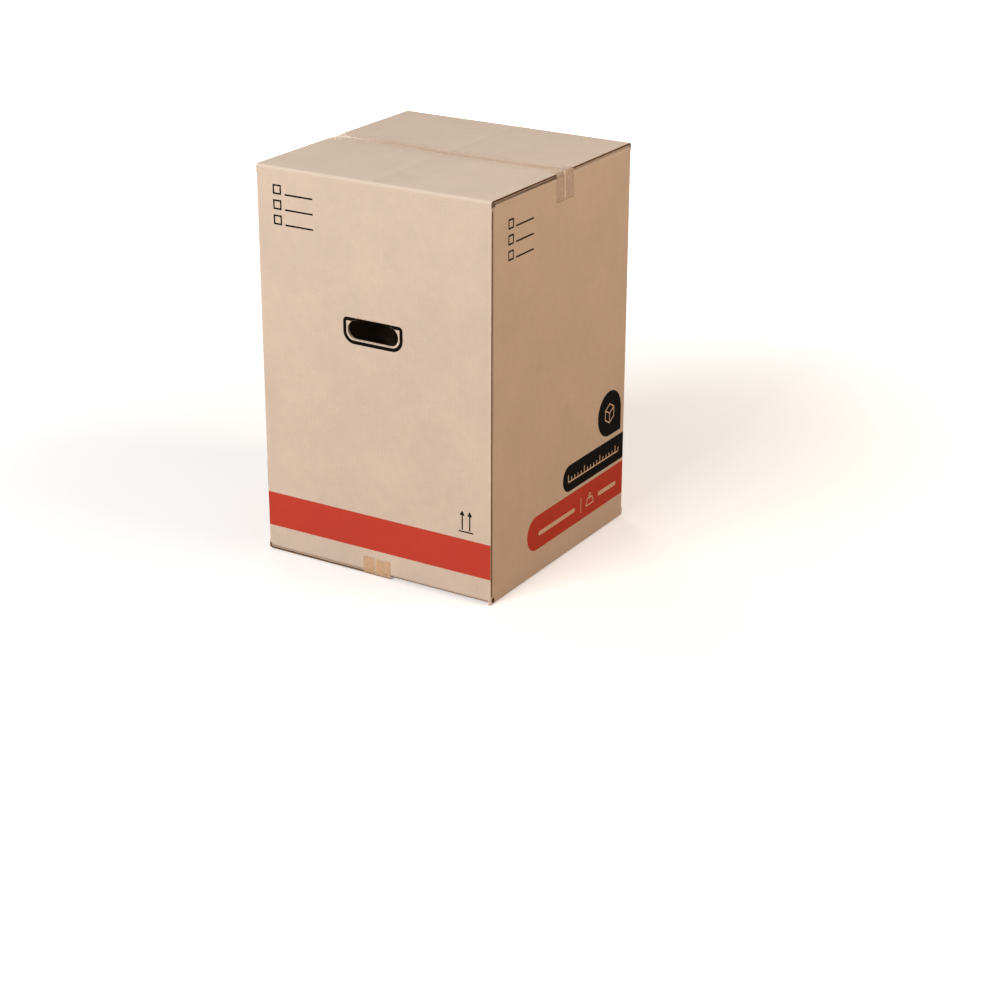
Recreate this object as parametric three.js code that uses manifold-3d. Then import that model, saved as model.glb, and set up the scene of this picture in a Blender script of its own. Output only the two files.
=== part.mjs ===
// A moving box: one sheet of single-wall corrugated board, creased, slotted, folded and
// glued into a carton, with its top and bottom flaps shut and taped.
// Millimetres, +Z up. The origin is on the ground under the middle of the carton.
//
// The sheet has four panels in a row and a glue tab. Panel 0 faces -Y, panel 1 faces +X,
// panel 2 faces +Y and panel 3 faces -X. Panels 0 and 2 carry the hand holes, the outer
// flaps of the top and the inner flaps of the bottom. Panels 1 and 3 carry the others.
// The glue tab grows from panel 1 and lies behind the raw edge of panel 0.

import * as THREE from 'three';
import { mergeVertices } from 'three/addons/utils/BufferGeometryUtils.js';
import Module from 'manifold-3d';

const wasm = await Module();
wasm.setup();

// The room inside the carton
const innerWidth = 400;
const innerDepth = 400;
const innerHeight = 600;

// The board and how it folds
const board = 4;
const liner = 0.4; // the flat paper on each side of the flutes
const foldRadius = 0.8; // inside radius of every crease
const layerGap = 0.3; // between a flap and the flap that lies on it
const foldSteps = 8; // facets of a crease that turns a right angle
const openFlute = 3; // how deep a raw edge is open between its liners

// Where flaps and panels end
const seamGap = 1.2; // between two flaps that meet in the middle
const outerFlapInset = 1.5; // from a face to the raw side edge of an outer flap
const innerFlapInset = 1.5; // from a wall to the raw side edge of an inner flap
const slotRelief = 1; // how far the slots between flaps reach past the lowest crease
const jointInset = 1; // from the face of panel 1 to the raw edge of panel 0

// The glued joint
const glueTabWidth = 35;
const glueTabTaper = 14; // how much shorter each end of the tab is at its free edge
const tongueWidth = 4; // uncut strip of panel 0 beside its last bottom slot
const tongueLift = 0.5; // from the underside of the carton to the end of that strip

// The hand holes, with the cut tab folded inward and up
const holeWidth = 89;
const holeHeight = 30;
const holeMiddle = 389.5; // above the underside of the carton
const holeSteps = 20; // facets of a half round end
const handTabSwing = Math.PI; // folded back flat on the panel

// The two strips of tape
const tapeWidth = 50;
const tapeThickness = 0.2;
const tapeGap = 0.3; // between the film and the board
const tapeFoldRadius = 0.3;
const topTapeDrop = 44; // how far the top strip runs down the side faces
const bottomTapeRise = 29.5; // how far the bottom strip runs up the front and back faces

const boardColour = 0xd2b28f;
const tapeColour = 0xcfa67c;

// Heights. Each flap has the height of the face that looks into the carton.
const underside = tapeThickness + tapeGap;
const bottomOuterLevel = underside + board;
const floorLevel = bottomOuterLevel + layerGap + board;
const ceilingLevel = floorLevel + innerHeight;
const topOuterLevel = ceilingLevel + board + layerGap;
const topFace = topOuterLevel + board;
const wallBottom = floorLevel + foldRadius + slotRelief;
const wallTop = ceilingLevel - foldRadius - slotRelief;

// Half sizes across the faces
const halfWidth = innerWidth / 2 + board;
const halfDepth = innerDepth / 2 + board;

function vector(x, y) {
  return new THREE.Vector2(x, y);
}

// Direction of a given angle, as a unit vector
function heading(angle) {
  return vector(Math.cos(angle), Math.sin(angle));
}

// Closed outline of a sheet seen end on. The path is the sheet's inner face with sharp
// corners, and the thickness lies on its left. Every corner turns right and becomes two
// arcs about one centre, the inner one with the given radius.
function sheetOutline(path, radius, thickness) {
  const inner = [];
  const outer = [];
  const addPair = (point, normal) => {
    inner.push(point);
    outer.push(point.clone().addScaledVector(normal, thickness));
  };
  path.forEach((corner, i) => {
    const before = path[i - 1] ?? path[0].clone().multiplyScalar(2).sub(path[1]);
    const after = path[i + 1] ?? corner.clone().multiplyScalar(2).sub(before);
    const angleIn = corner.clone().sub(before).angle();
    const turn = THREE.MathUtils.euclideanModulo(angleIn - after.clone().sub(corner).angle(), 2 * Math.PI);
    const steps = Math.round((turn / (Math.PI / 2)) * foldSteps);
    if (i === 0 || i === path.length - 1 || steps === 0) {
      addPair(corner.clone(), heading(angleIn + Math.PI / 2));
      return;
    }
    const setback = radius * Math.tan(turn / 2);
    const centre = corner.clone()
      .addScaledVector(heading(angleIn), -setback)
      .addScaledVector(heading(angleIn + Math.PI / 2), -radius);
    for (let step = 0; step <= steps; step += 1) {
      const normal = heading(angleIn + Math.PI / 2 - (turn * step) / steps);
      addPair(centre.clone().addScaledVector(normal, radius), normal);
    }
  });
  return outer.concat(inner.reverse());
}

// Geometry of an outline drawn across the axes u and v and pulled along the third axis
function pulled(outline, u, v, from, to) {
  const geometry = new THREE.ExtrudeGeometry(new THREE.Shape(outline), {
    depth: to - from,
    bevelEnabled: false,
  });
  geometry.translate(0, 0, from);
  geometry.applyMatrix4(new THREE.Matrix4().makeBasis(u, v, u.clone().cross(v)));
  return geometry;
}

function solid(geometry) {
  const bare = geometry.clone();
  bare.deleteAttribute('normal');
  bare.deleteAttribute('uv');
  const merged = mergeVertices(bare, 1e-5);
  return new wasm.Manifold(new wasm.Mesh({
    numProp: 3,
    vertProperties: new Float32Array(merged.attributes.position.array),
    triVerts: new Uint32Array(merged.index.array),
  }));
}

function geometryOf(manifold) {
  const mesh = manifold.getMesh();
  const geometry = new THREE.BufferGeometry();
  geometry.setAttribute('position', new THREE.BufferAttribute(mesh.vertProperties, 3));
  geometry.setIndex(new THREE.BufferAttribute(mesh.triVerts, 1));
  geometry.computeVertexNormals();
  return geometry;
}

const axisX = new THREE.Vector3(1, 0, 0);
const axisY = new THREE.Vector3(0, 1, 0);
const axisZ = new THREE.Vector3(0, 0, 1);

// What belongs to a panel is drawn as if the panel faced -Y, with X to the right as seen
// from outside, and then turned to its own side.
function turnedToPanel(geometry, panel) {
  return geometry.rotateZ((panel * Math.PI) / 2);
}

// From the middle of the carton to the inner face of a panel, and to the walls beside it
const innerReach = [innerDepth / 2, innerWidth / 2, innerDepth / 2, innerWidth / 2];
const innerSpan = [innerWidth / 2, innerDepth / 2, innerWidth / 2, innerDepth / 2];

// The ring of four walls in plan. It starts at the raw edge of panel 0, goes round by
// panels 3, 2 and 1, and ends with the glue tab behind the start.
function wallRing() {
  const left = -innerWidth / 2;
  const right = innerWidth / 2;
  const front = -innerDepth / 2;
  const back = innerDepth / 2;
  const path = [
    vector(halfWidth - jointInset, front),
    vector(left, front),
    vector(left, back),
    vector(right, back),
    vector(right, front + board),
    vector(right - glueTabWidth, front + board),
  ];
  return pulled(sheetOutline(path, foldRadius, board), axisX, axisY, wallBottom, wallTop);
}

// Slanted ends of the glue tab: what is cut away from it above and below
function glueTabTrimming(end, towards) {
  const freeEdge = innerWidth / 2 - glueTabWidth;
  const outline = [
    vector(innerWidth / 2 - foldRadius, end),
    vector(freeEdge - board, end - towards * glueTabTaper),
    vector(freeEdge - board, end + towards * board),
    vector(innerWidth / 2 - foldRadius, end + towards * board),
  ];
  // Axes X and Z pull towards -Y
  return pulled(outline, axisX, axisZ, innerDepth / 2 - 1.5 * board, innerDepth / 2);
}

// One layer of a flap seen end on, from its panel round the crease to the seam. The layer
// lies at a depth in the board, counted from the inner face.
function flapLayer(panel, level, panelEnd, depth, thickness) {
  const face = -innerReach[panel] - depth;
  const mirror = level > wallTop ? 1 : -1;
  const path = [
    vector(face, mirror * panelEnd),
    vector(face, mirror * level + depth),
    vector(-seamGap / 2, mirror * level + depth),
  ];
  return sheetOutline(path, foldRadius + depth, thickness).map((p) => vector(p.x, mirror * p.y));
}

// A flap with its crease and the stub of panel that it grows from
function flap(panel, level, leftEnd, rightEnd) {
  const stubEnd = level > wallTop ? wallTop - board : wallBottom + board;
  const outline = flapLayer(panel, level, stubEnd, 0, board);
  return solid(turnedToPanel(pulled(outline, axisY, axisZ, leftEnd, rightEnd), panel));
}

// The open flute along a raw side edge of a flap, between two places across the panel
function sideFlute(panel, level, from, to) {
  const slotEnd = level > wallTop ? wallTop : wallBottom;
  const outline = flapLayer(panel, level, slotEnd, liner, board - 2 * liner);
  return solid(turnedToPanel(pulled(outline, axisY, axisZ, from, to), panel));
}

// Ends of an outer flap reach almost to the faces beside its panel, and their raw edges
// show. At the joint panel 1 begins one board further in.
function outerFlap(panel, level) {
  const right = innerSpan[panel] + board - outerFlapInset;
  const left = panel === 1 ? innerFlapInset + board - innerSpan[panel] : -right;
  return flap(panel, level, left, right)
    .subtract(sideFlute(panel, level, left - openFlute, left + openFlute))
    .subtract(sideFlute(panel, level, right - openFlute, right + openFlute));
}

// Ends of an inner flap stay between the walls
function innerFlap(panel, level) {
  const right = innerSpan[panel] - innerFlapInset;
  return flap(panel, level, panel === 1 ? board - right : -right, right);
}

// The open flute along the raw edge of panel 0 at the joint
function jointFlute() {
  const edge = halfWidth - jointInset;
  const outline = [
    vector(edge - openFlute, wallBottom),
    vector(edge + openFlute, wallBottom),
    vector(edge + openFlute, wallTop),
    vector(edge - openFlute, wallTop),
  ];
  return solid(pulled(outline, axisX, axisZ, innerDepth / 2 + liner, halfDepth - liner));
}

// The narrow strip of panel 0 that stands beside its last bottom slot and isn't folded in
function cornerTongue() {
  const right = halfWidth - jointInset;
  const outline = [
    vector(right - tongueWidth, underside + tongueLift),
    vector(right, underside + tongueLift),
    vector(right, wallBottom + board),
    vector(right - tongueWidth, wallBottom + board),
  ];
  return solid(pulled(outline, axisX, axisZ, innerDepth / 2, halfDepth));
}

// Slot with round ends, wider than it is high, about a point
function roundEndedSlot(width, height, x, y) {
  const radius = height / 2;
  const shape = new THREE.Shape();
  const run = width / 2 - radius;
  shape.absarc(x + run, y, radius, -Math.PI / 2, Math.PI / 2, false);
  shape.absarc(x - run, y, radius, Math.PI / 2, 1.5 * Math.PI, false);
  return shape.extractPoints(holeSteps).shape.slice(0, -1);
}

const holeZ = underside + holeMiddle;
const hingeRun = (holeWidth - holeHeight) / 2; // half of the straight top edge
const hingeOuterRadius = foldRadius + board;
const hingeZ = holeZ + holeHeight / 2 + hingeOuterRadius; // centre of the tab's crease

// What a hand hole takes out of its panel: the slot, the open flutes round it, and the
// stretch that the crease of the tab then fills again
function handHole(panel) {
  const reach = innerReach[panel];
  const cut = (outline, from, to) => (
    solid(turnedToPanel(pulled(outline, axisX, axisZ, from, to), panel))
  );
  const hinge = [
    vector(-hingeRun, holeZ),
    vector(hingeRun, holeZ),
    vector(hingeRun, hingeZ),
    vector(-hingeRun, hingeZ),
  ];
  const slot = roundEndedSlot(holeWidth, holeHeight, 0, holeZ);
  const wider = roundEndedSlot(holeWidth + 2 * openFlute, holeHeight + 2 * openFlute, 0, holeZ);
  const flutes = cut(wider, reach + liner, reach + board - liner);
  return cut(slot, reach - board, reach + 2 * board)
    .add(flutes)
    .add(cut(hinge, reach - board, reach + 2 * board));
}

// The tab cut out of a hand hole: a crease about the hinge line, and beyond it the rest of
// the slot's shape, which leans into the carton
function handTab(panel) {
  const creasePoints = [];
  const steps = Math.round((handTabSwing / (Math.PI / 2)) * foldSteps);
  const centre = vector(-innerReach[panel] + foldRadius, hingeZ);
  const ringPoint = (radius, step) => centre.clone()
    .addScaledVector(heading(Math.PI + (handTabSwing * step) / steps), radius);
  for (let step = 0; step <= steps; step += 1) creasePoints.push(ringPoint(hingeOuterRadius, step));
  for (let step = steps; step >= 0; step -= 1) creasePoints.push(ringPoint(foldRadius, step));
  const crease = pulled(creasePoints, axisY, axisZ, -hingeRun, hingeRun);

  // The crease uses up this much of the tab, measured along the middle of the board
  const usedUp = ((foldRadius + board / 2) * handTabSwing) / 2;
  const leaf = pulled(
    roundEndedSlot(holeWidth, holeHeight, 0, holeHeight / 2 - usedUp),
    axisX,
    axisZ,
    0,
    board,
  );
  const behindCrease = new THREE.BoxGeometry(holeWidth, 3 * board, holeHeight);
  behindCrease.translate(0, 0, -holeHeight / 2);
  const trimmed = geometryOf(solid(leaf).subtract(solid(behindCrease)));
  // The leaf points up from its own origin and its -Y face meets the outer arc's end
  trimmed.translate(0, hingeOuterRadius, 0);
  trimmed.rotateX(-(Math.PI - handTabSwing));
  trimmed.translate(0, centre.x, centre.y);
  return solid(turnedToPanel(crease, panel)).add(solid(turnedToPanel(trimmed, panel)));
}

function carton() {
  let body = solid(wallRing())
    .subtract(solid(glueTabTrimming(wallTop, 1)))
    .subtract(solid(glueTabTrimming(wallBottom, -1)))
    .subtract(jointFlute());
  const folded = [
    outerFlap(0, topOuterLevel),
    outerFlap(2, topOuterLevel),
    innerFlap(1, ceilingLevel),
    innerFlap(3, ceilingLevel),
    innerFlap(0, floorLevel),
    innerFlap(2, floorLevel),
    outerFlap(1, bottomOuterLevel),
    outerFlap(3, bottomOuterLevel),
    cornerTongue(),
  ];
  folded.forEach((piece) => {
    body = body.add(piece);
  });
  [0, 2].forEach((panel) => {
    body = body.subtract(handHole(panel)).add(handTab(panel));
  });
  return geometryOf(body);
}

// A strip of tape over a shut seam. It lies on the outer flaps, turns over their raw side
// edges and runs along the two faces beyond.
function tapeStrip(faceReach, endLevel, kneeLevel, flatLevel, mirror) {
  const face = faceReach + tapeGap;
  const edge = faceReach - outerFlapInset + tapeGap;
  const path = [
    vector(-face, mirror * endLevel),
    vector(-face, mirror * kneeLevel),
    vector(-edge, mirror * flatLevel),
    vector(edge, mirror * flatLevel),
    vector(face, mirror * kneeLevel),
    vector(face, mirror * endLevel),
  ];
  return sheetOutline(path, tapeFoldRadius, tapeThickness).map((p) => vector(p.x, mirror * p.y));
}

function topTape() {
  const outline = tapeStrip(halfWidth, topFace - topTapeDrop, ceilingLevel, topFace + tapeGap, 1);
  return pulled(outline, axisX, axisZ, -tapeWidth / 2, tapeWidth / 2);
}

function bottomTape() {
  const outline = tapeStrip(halfDepth, underside + bottomTapeRise, floorLevel, underside - tapeGap, -1);
  return pulled(outline, axisY, axisZ, -tapeWidth / 2, tapeWidth / 2);
}

function namedMesh(name, geometry, colour, roughness) {
  const material = new THREE.MeshStandardMaterial({ color: colour, roughness, metalness: 0 });
  const mesh = new THREE.Mesh(geometry, material);
  mesh.name = name;
  return mesh;
}

const movingBox = new THREE.Group();
movingBox.add(
  namedMesh('carton', carton(), boardColour, 0.9),
  namedMesh('top_tape', topTape(), tapeColour, 0.35),
  namedMesh('bottom_tape', bottomTape(), tapeColour, 0.35),
);

export default movingBox;
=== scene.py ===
# %% [markdown]
# A moving box of corrugated board
#
# The carton is one folded sheet of board, shut with two strips of clear tape. Its solids
# come from a CAD model and stay as they are. This lesson gives them the look of kraft
# board, and lays the print and the tape on them as thin meshes of their own.

# %% The frame
import math
import bmesh
import bpy
from mathutils import Matrix, Vector


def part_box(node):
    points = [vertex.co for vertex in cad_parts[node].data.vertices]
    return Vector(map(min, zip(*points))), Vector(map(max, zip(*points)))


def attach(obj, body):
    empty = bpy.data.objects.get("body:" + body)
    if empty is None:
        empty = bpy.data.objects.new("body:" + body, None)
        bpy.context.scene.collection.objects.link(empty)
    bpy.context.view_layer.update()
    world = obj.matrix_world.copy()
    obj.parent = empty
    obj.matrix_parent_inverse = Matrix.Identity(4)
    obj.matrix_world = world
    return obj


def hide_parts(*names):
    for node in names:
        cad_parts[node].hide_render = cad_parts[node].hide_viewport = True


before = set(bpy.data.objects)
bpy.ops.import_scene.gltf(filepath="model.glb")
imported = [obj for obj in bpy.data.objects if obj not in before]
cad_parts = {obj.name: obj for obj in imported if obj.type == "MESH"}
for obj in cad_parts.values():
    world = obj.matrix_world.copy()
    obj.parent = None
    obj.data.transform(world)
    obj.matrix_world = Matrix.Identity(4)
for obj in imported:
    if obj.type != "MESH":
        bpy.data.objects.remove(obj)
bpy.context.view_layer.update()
carton_low, carton_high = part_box("carton")
MM = 0.001
face_x = carton_high.x
face_y = carton_high.y
underside = carton_low.z
top = carton_high.z
print("carton", [round(v / MM, 1) for v in carton_high - carton_low], "mm")

# %% [markdown]
# Camera
#
# A camera can be aimed by hand or worked out. This one was worked out from the seven
# corners of the box that a photograph shows: it stands about three and a half metres away,
# looks down a little, and uses a long lens.

# %% Camera
camera_data = bpy.data.cameras.new("camera")
camera_data.lens = 81.5
camera_data.sensor_width = 36
camera = bpy.data.objects.new("camera", camera_data)
bpy.context.scene.collection.objects.link(camera)
camera.location = (1.789, -2.801, 1.441)
heading = math.radians(121.16)
downward = math.radians(22.65)
roll = math.radians(0.25)
aim = Vector((
    math.cos(heading) * math.cos(downward),
    math.sin(heading) * math.cos(downward),
    -math.sin(downward),
))
turn = aim.to_track_quat("-Z", "Y") @ Matrix.Rotation(roll, 4, "Z").to_quaternion()
camera.rotation_mode = "QUATERNION"
camera.rotation_quaternion = turn
bpy.context.scene.camera = camera
print("camera", [round(v, 3) for v in camera.location])

# %% [markdown]
# Helpers for shader nodes
#
# Every finish here is made of nodes. They could be placed one by one, which takes many lines
# each. A few short helpers keep the cells readable: they add a node and set its inputs, do
# sums, mix colours or values, and start a group or a material.

# %% Node helpers
def add_node(tree, kind, inputs=None, **settings):
    node = tree.nodes.new(kind)
    for name, value in settings.items():
        setattr(node, name, value)
    for name, value in (inputs or {}).items():
        if isinstance(value, bpy.types.NodeSocket):
            tree.links.new(value, node.inputs[name])
        else:
            node.inputs[name].default_value = value
    return node


def math_node(tree, operation, *values):
    inputs = dict(enumerate(values))
    return add_node(tree, "ShaderNodeMath", inputs, operation=operation).outputs[0]


def mix_value(tree, factor, first, second):
    """The first value where the factor is nought, the second where it is one."""
    return add_node(tree, "ShaderNodeMix", {0: factor, 2: first, 3: second}, data_type="FLOAT").outputs[0]


def mix_colour(tree, factor, first, second, blend="MIX"):
    node = add_node(tree, "ShaderNodeMix", data_type="RGBA", blend_type=blend)
    for name, value in (("Factor", factor), ("A", first), ("B", second)):
        socket = [s for s in node.inputs if s.name == name and s.enabled][0]
        if isinstance(value, bpy.types.NodeSocket):
            tree.links.new(value, socket)
        else:
            socket.default_value = value
    return [s for s in node.outputs if s.enabled][0]


def times_colour(tree, first, second):
    return mix_colour(tree, 1.0, first, second, "MULTIPLY")


def new_group(name, inputs, outputs):
    tree = bpy.data.node_groups.new(name, "ShaderNodeTree")
    for label, kind, default in inputs:
        socket = tree.interface.new_socket(label, in_out="INPUT", socket_type=kind)
        socket.default_value = default
    for label, kind in outputs:
        tree.interface.new_socket(label, in_out="OUTPUT", socket_type=kind)
    return tree, tree.nodes.new("NodeGroupInput").outputs, tree.nodes.new("NodeGroupOutput").inputs


def new_material(name):
    material = bpy.data.materials.new(name)
    material.use_nodes = True
    tree = material.node_tree
    return material, tree, tree.nodes["Principled BSDF"]


def srgb(red, green, blue):
    """A colour as a screen names it, from 0 to 255, turned into amounts of light."""
    def linear(value):
        value /= 255
        return value / 12.92 if value <= 0.04045 else ((value + 0.055) / 1.055) ** 2.4
    return (linear(red), linear(green), linear(blue), 1)


print("a middle grey of 128 is this much light:", round(srgb(128, 128, 128)[0], 3))

# %% [markdown]
# Helpers for patterns
#
# A pattern over a surface is a value worked out from the place. Three forms come back in
# every finish here: a ramp between two limits, a bell that is one at a line and fades beside
# it, and noise. Noise is named by its scale, its detail and its roughness.

# %% Pattern helpers
def place_and_side(tree):
    """The place on the object, that place along each axis, and the way the surface faces."""
    coordinates = add_node(tree, "ShaderNodeTexCoord").outputs
    at = add_node(tree, "ShaderNodeSeparateXYZ", {"Vector": coordinates["Object"]}).outputs
    facing = add_node(tree, "ShaderNodeSeparateXYZ", {"Vector": coordinates["Normal"]}).outputs
    return coordinates["Object"], at, facing


def ramp(tree, value, start, end, low=0.0, high=1.0, **settings):
    """Goes from low to high while the value goes from start to end."""
    limits = {"Value": value, "From Min": start, "From Max": end, "To Min": low, "To Max": high}
    return add_node(tree, "ShaderNodeMapRange", limits, **settings).outputs[0]


def bell(tree, value, width):
    """One where the value is nought, and next to nothing two widths away."""
    widths = math_node(tree, "DIVIDE", value, width)
    squared = math_node(tree, "MULTIPLY", widths, widths)
    return math_node(tree, "EXPONENT", math_node(tree, "MULTIPLY", squared, -1.0))


def noise(tree, place, scale, detail, roughness):
    inputs = {"Vector": place, "Scale": scale, "Detail": detail, "Roughness": roughness}
    return add_node(tree, "ShaderNodeTexNoise", inputs).outputs["Fac"]


# %% [markdown]
# Which way the paper runs
#
# The fibres of kraft paper run along the roll, and the flutes under it run across. On a
# carton that makes flutes upright on the panels. A map unwrapped by hand could carry both
# directions over the folds. Here they are worked out from the place and from the side that
# the board faces, which needs no map.

# %% Which way the paper runs
FACING = 0.7
SIDE_SHIFT = 3.0


def run_of_paper():
    """Flute position and fibre position, each from the place and the side of the board."""
    tree, _, result = new_group(
        "paper_run", [], [("Across flutes", "NodeSocketFloat"), ("Fibre place", "NodeSocketVector")]
    )
    _, at, facing = place_and_side(tree)
    sideways = math_node(tree, "GREATER_THAN", math_node(tree, "ABSOLUTE", facing["X"]), FACING)
    down = math_node(tree, "LESS_THAN", facing["Z"], -FACING)
    flat = math_node(tree, "GREATER_THAN", math_node(tree, "ABSOLUTE", facing["Z"]), FACING)
    around = mix_value(tree, math_node(tree, "MAXIMUM", sideways, down), at["X"], at["Y"])
    other = math_node(tree, "SUBTRACT", math_node(tree, "ADD", at["X"], at["Y"]), around)
    along = mix_value(tree, flat, at["Z"], other)
    apart = math_node(tree, "MULTIPLY", facing["X"], SIDE_SHIFT)
    fibre = add_node(tree, "ShaderNodeCombineXYZ", {"X": around, "Y": along, "Z": apart})
    tree.links.new(around, result["Across flutes"])
    tree.links.new(fibre.outputs[0], result["Fibre place"])
    return tree


paper_run = run_of_paper()
print("group", paper_run.name, "with", len(paper_run.nodes), "nodes")

# %% [markdown]
# Worn folds with a painted highlight
#
# Where the board is folded, its outer paper is stretched over the crease and turns a little
# paler, in an uneven line, and that paleness is also a painted highlight on the rounded
# crease. The line could be painted, but it always lies where two of the three distances to
# the middle of the carton are almost as large as they can be, so it is worked out from them.

# %% Folds
FOLD_STARTS = 6.5 * MM
FOLD_FULL = 2 * MM
FOLD_WEAR = (38, 5, 0.7)
WEAR_STARTS = 0.35
WEAR_FULL = 0.65
LEAST_WEAR = 0.35


def distances_to_middle(tree, at):
    centres = {"X": 0, "Y": 0, "Z": (top + underside) / 2}
    return [
        math_node(tree, "ABSOLUTE", math_node(tree, "SUBTRACT", at[axis], centre))
        for axis, centre in centres.items()
    ]


def fold_lines(tree, place, aways):
    """One on a fold, uneven as wear is; it marks worn paper and a painted highlight."""
    reaches = (face_x, face_y, (top - underside) / 2)
    near = [
        ramp(tree, away, reach - FOLD_STARTS, reach - FOLD_FULL) for away, reach in zip(aways, reaches)
    ]
    pairs = [math_node(tree, "MULTIPLY", near[i], near[j]) for i, j in ((0, 1), (0, 2), (1, 2))]
    fold = math_node(tree, "MAXIMUM", math_node(tree, "MAXIMUM", pairs[0], pairs[1]), pairs[2])
    wear = ramp(tree, noise(tree, place, *FOLD_WEAR), WEAR_STARTS, WEAR_FULL, LEAST_WEAR)
    return math_node(tree, "MULTIPLY", fold, wear)


print("the paper pales", round(FOLD_STARTS / MM, 1), "mm from a fold's corner")

# %% [markdown]
# The lid's lift
#
# Under the outer flaps of the lid lie the two inner ones, whose ends meet in the middle and
# lift the board above them by a hair. That line shows only as a soft ridge, and the rest of
# the lid has low swells. The solids stay flat, so both are relief for the material.

# %% Lift of the lid
LID_FACING = 0.9
SWELLS = (5, 2, 0.5)
SWELL_LIFT = 2.0
RIDGE_WIDTH = 9 * MM
RIDGE_SWAY = 16 * MM


def lid_lift(tree, place, at, facing):
    """How high the lid stands, counted in ridges: a wandering ridge and soft swells."""
    swells = noise(tree, place, *SWELLS)
    sway = math_node(tree, "MULTIPLY_ADD", swells, RIDGE_SWAY, -RIDGE_SWAY / 2)
    ridge = bell(tree, math_node(tree, "ADD", at["X"], sway), RIDGE_WIDTH)
    raised = math_node(tree, "MULTIPLY_ADD", swells, SWELL_LIFT, ridge)
    lid = math_node(tree, "GREATER_THAN", facing["Z"], LID_FACING)
    return math_node(tree, "MULTIPLY", raised, lid)


print("the ridge wanders over", round(RIDGE_SWAY / MM), "mm at most")

# %% [markdown]
# Shade under the lid
#
# Right under the raw edges of the outer flaps lies deep shade, where the inner flap turns in.
# The front flap rises a little towards the seam, so the shade is deepest there, and the back
# flap is held down and shows less of it. The renderer makes shade of its own, but the solid
# flap is flat, so the missing part of it is a colour on the crease.

# %% Shade under the lid
BOARD = 4 * MM
SHADE_FULL = 2.3 * MM
SHADE_GONE = 3.8 * MM
SHADE_SLACK = 0.05 * MM
CREASE_DEPTH = 6.5 * MM
SHADE_SHORT = 4.5 * MM
SHADE_AT_CORNER = 0.7
HELD_DOWN = 0.65


def lid_shade(tree, at, aways):
    """One in the deepest shade, on the two sides whose flaps turn in under the others."""
    # Painted shade: the crease under the lid's raw edges is darkened in its colour.
    below = math_node(tree, "SUBTRACT", top - BOARD, at["Z"])
    behind = math_node(tree, "GREATER_THAN", at["Y"], 0.0)
    shade = ramp(tree, below, SHADE_FULL, SHADE_GONE, 1.0, 0.0)
    for limit in (
        math_node(tree, "GREATER_THAN", below, -SHADE_SLACK),
        math_node(tree, "GREATER_THAN", aways[0], face_x - CREASE_DEPTH),
        math_node(tree, "LESS_THAN", aways[1], face_y - SHADE_SHORT),
        ramp(tree, at["Y"], -face_y, 0.0, SHADE_AT_CORNER, 1.0),
        math_node(tree, "MULTIPLY_ADD", behind, -HELD_DOWN, 1.0),
    ):
        shade = math_node(tree, "MULTIPLY", shade, limit)
    return shade


print("the shade ends", round(SHADE_GONE / MM, 1), "mm under the flap")

# %% [markdown]
# One group for folds, lid lift and painted shade
#
# Board and ink both need these three values, because ink lies over the folds too. Built into
# each material they would be there several times. A group holds them once.

# %% The fold group
def folds_lift_and_painted_shade():
    tree, _, result = new_group(
        "folds_lift_and_painted_shade", [],
        [("Fold", "NodeSocketFloat"), ("Lift", "NodeSocketFloat"), ("Shade", "NodeSocketFloat")],
    )
    place, at, facing = place_and_side(tree)
    aways = distances_to_middle(tree, at)
    tree.links.new(fold_lines(tree, place, aways), result["Fold"])
    tree.links.new(lid_lift(tree, place, at, facing), result["Lift"])
    tree.links.new(lid_shade(tree, at, aways), result["Shade"])
    return tree


folds = folds_lift_and_painted_shade()
print("group", folds.name, "with", len(folds.nodes), "nodes")

# %% [markdown]
# Tones of kraft paper
#
# The outside of the board is brown kraft paper. Its colour drifts in soft clouds and smaller
# patches, fine fibres run round the carton, and the flutes underneath show as very faint
# ribs. An image could hold all this, but noise made from the place on the object has no
# seams and never repeats, so it is used here.

# %% Tones of the paper
CLOUDS = (9, 3, 0.55)
PATCHES = (55, 4, 0.6)
FIBRES = (1, 4, 0.7)
FIBRE_STRETCH = (70, 900, 1)
CLOUD_TONE = 0.20
PATCH_TONE = 0.13
FIBRE_TONE = 0.20
RIB_TONE = 0.006


def paper_patterns(tree, place, run, pitch):
    """Clouds, patches, fibres and ribs."""
    stretched = add_node(
        tree, "ShaderNodeVectorMath", {0: run["Fibre place"], 1: FIBRE_STRETCH}, operation="MULTIPLY"
    ).outputs[0]
    turns = math_node(tree, "DIVIDE", run["Across flutes"], pitch)
    ribs = math_node(tree, "SINE", math_node(tree, "MULTIPLY", turns, 2 * math.pi))
    clouds = noise(tree, place, *CLOUDS)
    patches = noise(tree, place, *PATCHES)
    fibres = noise(tree, stretched, *FIBRES)
    return clouds, patches, fibres, ribs


def paper_tone(tree, clouds, patches, fibres, ribs, contrast):
    """A grey around one, lighter and darker with the patterns."""
    tone = math_node(tree, "MULTIPLY", ribs, RIB_TONE)
    for pattern, strength in ((clouds, CLOUD_TONE), (patches, PATCH_TONE), (fibres, FIBRE_TONE)):
        centred = math_node(tree, "SUBTRACT", pattern, 0.5)
        tone = math_node(tree, "MULTIPLY_ADD", centred, strength, tone)
    tone = math_node(tree, "MULTIPLY_ADD", tone, contrast, 1.0)
    return add_node(tree, "ShaderNodeCombineColor", {"Red": tone, "Green": tone, "Blue": tone}).outputs[0]


print("clouds change the tone by", CLOUD_TONE / 2, "to either side at most")
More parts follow.
